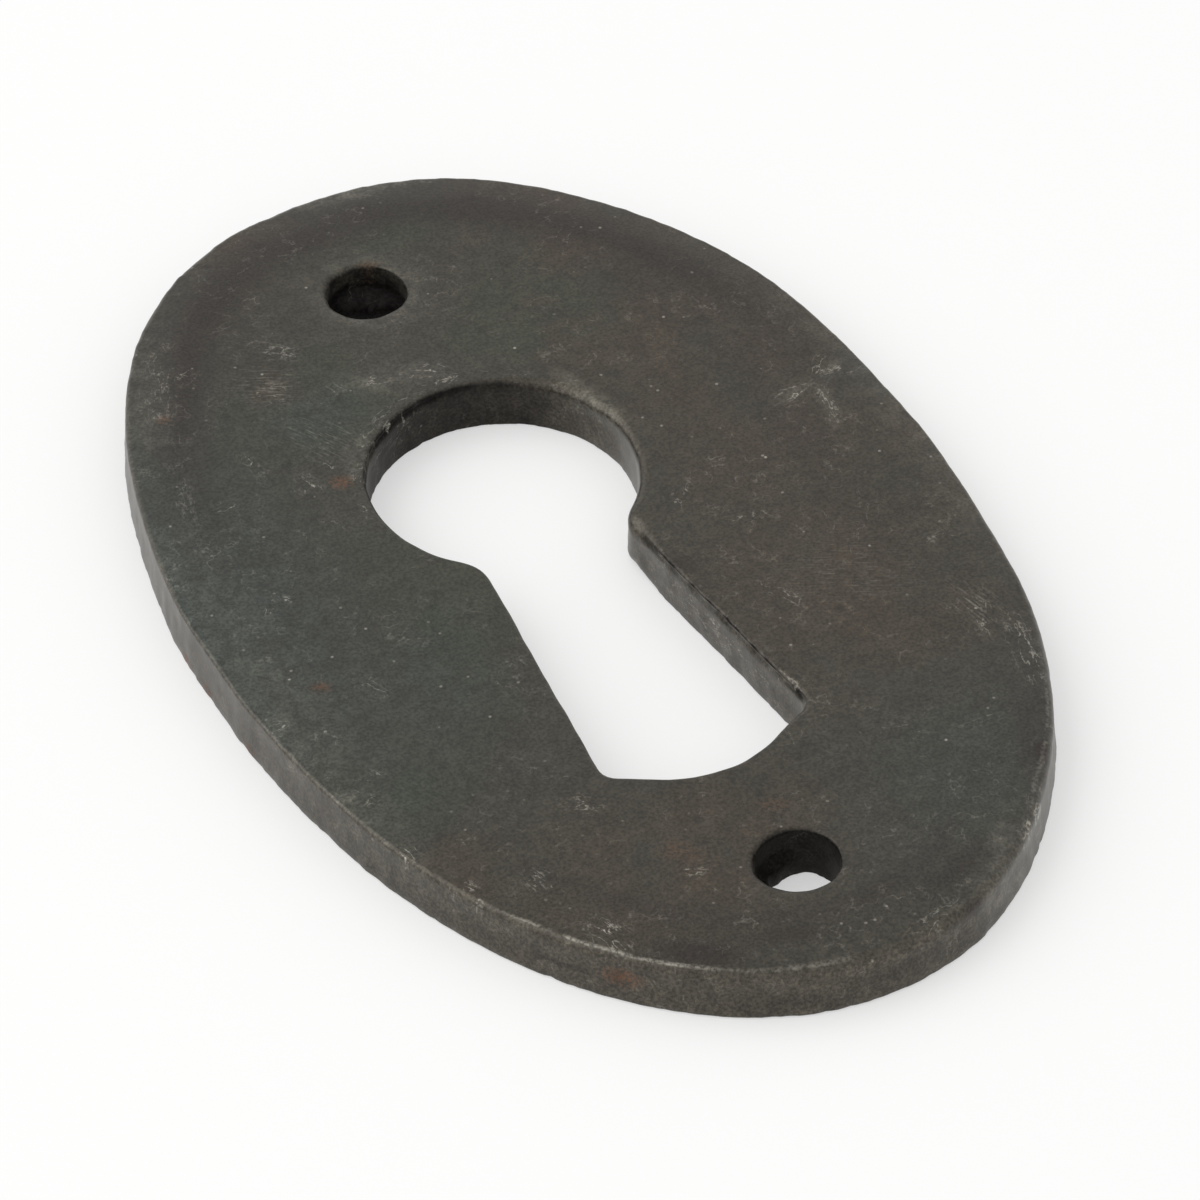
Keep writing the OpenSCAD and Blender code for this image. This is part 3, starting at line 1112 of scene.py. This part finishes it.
        # The painted shade bands join the painted shade patches
        np.maximum(layers["painted_shade"], self.border(points, rims[0]), out=layers["painted_shade"])
        self.tone_walls(layers, rims)
        for name, values in layers.items():
            layer = mesh.attributes.new(name, "FLOAT", "POINT")
            layer.data.foreach_set("value", values.astype(np.float32))
        for name, place in places.items():
            layer = mesh.attributes.new(f"{name}_place", "FLOAT_VECTOR", "POINT")
            layer.data.foreach_set("vector", place.astype(np.float32).ravel())
        mesh.materials.append(self.finish.material())
        plate = bpy.data.objects.new("forged_plate", mesh)
        bpy.context.scene.collection.objects.link(plate)
        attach(plate, BODY)
        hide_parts(CAD_NODE)
        return plate


@dataclass(frozen=True)
class PalePaper:
    """Smooth white paper: matt and nearly white, so that only the plate's soft shadow shows."""

    sheet: str = "#F9F9F8"
    glow: float = 0.42

    def material(self) -> bpy.types.Material:
        """Builds the material: matt paper, lifted towards white for camera and reflections."""
        made = bpy.data.materials.new("pale_paper")
        n = NodeTree(made)
        matt = n.add("BsdfDiffuse", {"Color": linear(self.sheet)}).outputs[0]
        white = n.add("Emission", {"Color": (1, 1, 1, 1), "Strength": 1.0}).outputs[0]
        mixed = n.add("MixShader", {0: n.join(n.seen(), self.glow), 1: matt, 2: white}).outputs[0]
        n.add("OutputMaterial", {"Surface": mixed})
        return made


def turned_to_plate(azimuth: float, elevation: float) -> Matrix:
    """Gives the turn of what looks at the plate from an azimuth, 0 in front, and an elevation."""
    return (Matrix.Rotation(math.radians(azimuth), 3, "Z")
            @ Matrix.Rotation(math.radians(90 - elevation), 3, "X"))


@dataclass(frozen=True)
class SoftLamp:
    """A large square lamp, aimed at the plate from an azimuth, 0 in front and 90 on the right.

    Its size and distance are in millimetres, its power in watts and its angles in degrees.
    """

    name: str
    azimuth: float
    elevation: float
    power: float
    size: float = 800.0
    distance: float = 700.0
    colour: str = "#FFFFFF"

    def place(self) -> None:
        """Adds the lamp to the scene."""
        light = bpy.data.lights.new(self.name, "AREA")
        light.shape, light.size, light.energy = "SQUARE", self.size * MM, self.power
        light.color = linear(self.colour)[:3]
        lamp = bpy.data.objects.new(self.name, light)
        turn = turned_to_plate(self.azimuth, self.elevation)
        place = turn @ Vector((0, 0, self.distance)) * MM
        lamp.matrix_world = Matrix.Translation(place) @ turn.to_4x4()
        bpy.context.scene.collection.objects.link(lamp)


@dataclass(frozen=True)
class Studio:
    """The setting: pale paper under a white surround and a soft lamp."""

    paper_half: float = 1500.0
    paper_drop: float = 0.01
    surround: str = "#FFFFFF"
    surround_level: float = 0.79
    lamp: SoftLamp = SoftLamp("window_left", -116, 42, 2.5)

    def build(self) -> bpy.types.Object:
        """Builds the paper, the surround and the lamp.

        Returns:
            The paper.
        """
        half, z = self.paper_half * MM, -self.paper_drop * MM
        corners = [(-half, -half, z), (half, -half, z), (half, half, z), (-half, half, z)]
        mesh = bpy.data.meshes.new("paper")
        mesh.from_pydata(corners, [], [(0, 1, 2, 3)])
        mesh.materials.append(PalePaper().material())
        paper = bpy.data.objects.new("paper", mesh)
        bpy.context.scene.collection.objects.link(paper)
        world = bpy.data.worlds.new("white_surround")
        bpy.context.scene.world = world
        n = NodeTree(world)
        level = n.add("MapRange", {"Value": n.seen(), "To Min": self.surround_level, "To Max": 1.0})
        sky = n.add("Background", {"Color": linear(self.surround), "Strength": level.outputs[0]})
        n.add("OutputWorld", {"Surface": sky.outputs[0]})
        self.lamp.place()
        return paper


@dataclass(frozen=True)
class StudioCamera:
    """A camera with a long lens, looking down on the plate from its front left.

    Attributes:
        azimuth, elevation: Where it stands round and above the plate, in degrees.
        roll: Its turn about the line of sight, in degrees.
        distance: Its distance from the plate, in millimetres.
        focal_px: Focal length in pixels.
        plate_px: Where the middle of the plate's back falls in the square picture.
        picture_px: Side of that picture.
        sensor: Width of the sensor, in millimetres.
    """

    azimuth: float = -26.53
    elevation: float = 43.16
    roll: float = -1.106
    distance: float = 282.53
    focal_px: float = 6970.2
    plate_px: tuple[float, float] = (583.4, 593.6)
    picture_px: int = 1200
    sensor: float = 36.0

    def place(self) -> bpy.types.Object:
        """Adds the camera and makes it the scene's.

        Returns:
            The camera.
        """
        roll = Matrix.Rotation(math.radians(self.roll), 3, "Z")
        turn = turned_to_plate(self.azimuth, self.elevation) @ roll
        centre = self.picture_px / 2
        aside = (self.plate_px[0] - centre) / self.focal_px * self.distance
        above = (centre - self.plate_px[1]) / self.focal_px * self.distance
        lens = bpy.data.cameras.new("studio_camera")
        lens.sensor_fit, lens.sensor_width = "HORIZONTAL", self.sensor
        lens.lens = self.focal_px / self.picture_px * self.sensor
        lens.clip_start, lens.clip_end = 0.01, 10
        camera = bpy.data.objects.new("studio_camera", lens)
        place = turn @ Vector((-aside, -above, self.distance)) * MM
        camera.matrix_world = Matrix.Translation(place) @ turn.to_4x4()
        bpy.context.scene.collection.objects.link(camera)
        bpy.context.scene.camera = camera
        return camera


def main() -> None:
    """Builds the plate and its setting, and reports each piece."""
    logging.basicConfig(level=logging.INFO, format="%(name)s: %(message)s")
    bpy.context.scene.view_settings.view_transform = "Standard"
    low, high = CAD_BOX
    log.info("CAD box: %.2f by %.2f by %.2f mm", *((h - l) / MM for l, h in zip(low, high)))
    camera = StudioCamera().place()
    log.info("camera: %.1f mm lens", camera.data.lens)
    paper = Studio().build()
    log.info("setting: %s", paper.name)
    plate = EscutcheonPlate(51.0, 32.0, (high[2] - low[2]) / MM).build()
    log.info("plate: %d points, %d faces", len(plate.data.vertices), len(plate.data.polygons))


if __name__ == "__main__":
    main()
